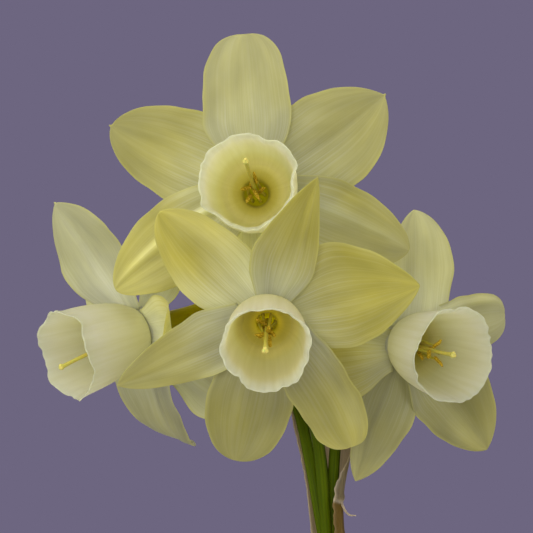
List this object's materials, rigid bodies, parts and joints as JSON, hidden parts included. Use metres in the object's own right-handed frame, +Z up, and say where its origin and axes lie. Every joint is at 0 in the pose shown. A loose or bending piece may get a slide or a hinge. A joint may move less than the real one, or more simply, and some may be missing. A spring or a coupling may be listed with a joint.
{
  "type": "potted narcissus",
  "caption": "Narcissus plant in a plain clay pot: strap leaves and one upright stem with an umbel of pale yellow flowers, each with spreading petals round a cream cup.",
  "frame": {"origin": "centre of the pot's flat underside", "axes": "+Z up the stem from the table, -Y the side that the picture is taken from, +X to the right seen from that side"},
  "size_m": [0.3176, 0.2496, 0.5066],
  "materials": {
    "pot": "unglazed fired clay, matte",
    "soil": "crumbly moist peat compost",
    "bulb": "dry papery skin, with a pale sheath at the neck",
    "leaf": "waxy green leaf with fine lengthwise veins",
    "stem": "smooth green stem with fine lengthwise ribs",
    "spathe": "dry translucent papery bract",
    "petal": "soft satin petal, slightly translucent",
    "cup": "soft cream cup, paler at its rim",
    "pollen": "powdery orange pollen",
    "style": "smooth pale green style"
  },
  "bodies": {
    "root": {"pot": "pot", "soil": "soil", "bulb": "bulb", "stem": "stem", "spathe": "spathe", "leaf_1": "leaf", "leaf_2": "leaf", "leaf_3": "leaf", "leaf_4": "leaf", "leaf_5": "leaf", "leaf_6": "leaf", "leaf_7": "leaf", "petals_centre": "petal", "petals_top": "petal", "petals_left": "petal", "petals_right": "petal", "cup_centre": "cup", "cup_top": "cup", "cup_left": "cup", "cup_right": "cup", "stamens_centre": "pollen", "stamens_top": "pollen", "stamens_left": "pollen", "stamens_right": "pollen", "pistil_centre": "style", "pistil_top": "style", "pistil_left": "style", "pistil_right": "style"}
  },
  "joints": []
}
